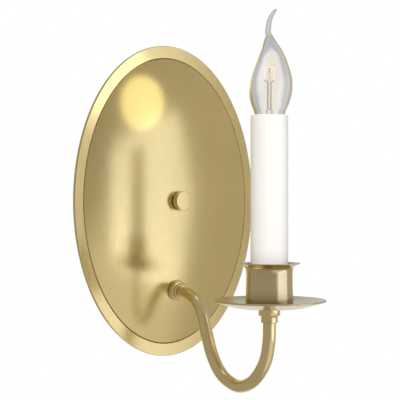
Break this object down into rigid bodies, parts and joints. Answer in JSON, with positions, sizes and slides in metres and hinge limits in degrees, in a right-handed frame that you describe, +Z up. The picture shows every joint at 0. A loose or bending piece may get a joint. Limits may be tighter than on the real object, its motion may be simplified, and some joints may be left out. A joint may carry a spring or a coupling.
{
  "type": "wall sconce",
  "caption": "Electric candle wall sconce: domed oval backplate, curved tube arm, drip dish, flared cup, white candle sleeve and clear bent-tip bulb.",
  "frame": {"origin": "centre of the backplate on the wall plane, which is also the centre of the crossbar's two slots", "axes": "+Z up, +Y into the wall, -Y out into the room, +X to the right of someone facing the wall"},
  "size_m": [0.1436, 0.1287, 0.2258],
  "materials": {
    "satin_brass": "satin lacquered",
    "polished_brass": "polished, antique tone",
    "zinc_steel": "zinc plated",
    "green_screw": "green dyed zinc",
    "phenolic": "moulded phenolic",
    "shell_brass": "bright",
    "sleeve_white": "smooth, soft gloss",
    "bulb_glass": "clear",
    "stem_glass": "clear",
    "cap_brass": "bright",
    "insulator": "black glass",
    "solder": "solder",
    "lead_wire": "nickel wire",
    "tungsten": "tungsten",
    "wire_black": "insulation",
    "wire_white": "insulation",
    "copper": "bare copper",
    "fibre": "nylon"
  },
  "bodies": {
    "frame": {"backplate": "satin_brass", "crossbar": "zinc_steel", "centre_stud": "zinc_steel", "stud_locknut": "zinc_steel", "ground_screw": "green_screw", "arm_collar": "polished_brass", "arm_tube": "polished_brass", "rear_washer": "zinc_steel", "rear_nut": "zinc_steel", "arm_coupling": "polished_brass", "bobeche": "polished_brass", "candle_cup": "polished_brass", "socket_nipple": "zinc_steel", "cup_nut": "zinc_steel", "socket_bracket": "zinc_steel", "socket_body": "phenolic", "socket_rivet": "shell_brass", "socket_screw_shell": "shell_brass", "socket_centre_contact": "shell_brass", "wire_hot": "wire_black", "wire_neutral": "wire_white", "wire_ends": "copper"},
    "knob_seat": {"knob_washer": "fibre"},
    "knob": {"knob": "polished_brass"},
    "sleeve": {"candle_sleeve": "sleeve_white"},
    "bulb_foot": {"bulb_contact": "solder"},
    "bulb": {"bulb_glass": "bulb_glass", "bulb_cap": "cap_brass", "bulb_insulator": "insulator", "bulb_stem": "stem_glass", "bulb_wires": "lead_wire", "bulb_filament": "tungsten"}
  },
  "joints": [
    {"name": "knob_travel", "type": "slide", "parent": "frame", "child": "knob_seat", "axis": [0, -1, 0], "range_m": [0, 0.00298]},
    {"name": "knob_turn", "type": "hinge", "parent": "knob_seat", "child": "knob", "pos_m": [0, -0.0155, 0], "axis": [0, -1, 0], "range_deg": [0, 1350]},
    {"name": "sleeve_lift", "type": "slide", "parent": "frame", "child": "sleeve", "axis": [0, 0, 1], "range_m": [0, 0.0035]},
    {"name": "bulb_travel", "type": "slide", "parent": "frame", "child": "bulb_foot", "axis": [0, 0, 1], "range_m": [0, 0.0127]},
    {"name": "bulb_turn", "type": "hinge", "parent": "bulb_foot", "child": "bulb", "pos_m": [0, -0.0956, 0.03], "axis": [0, 0, 1], "range_deg": [0, 1798]}
  ],
  "couplings": [
    {"joint": "knob_travel", "follows": "knob_turn", "m_per_rad": 0.00012633},
    {"joint": "bulb_travel", "follows": "bulb_turn", "m_per_rad": 0.00040425}
  ]
}
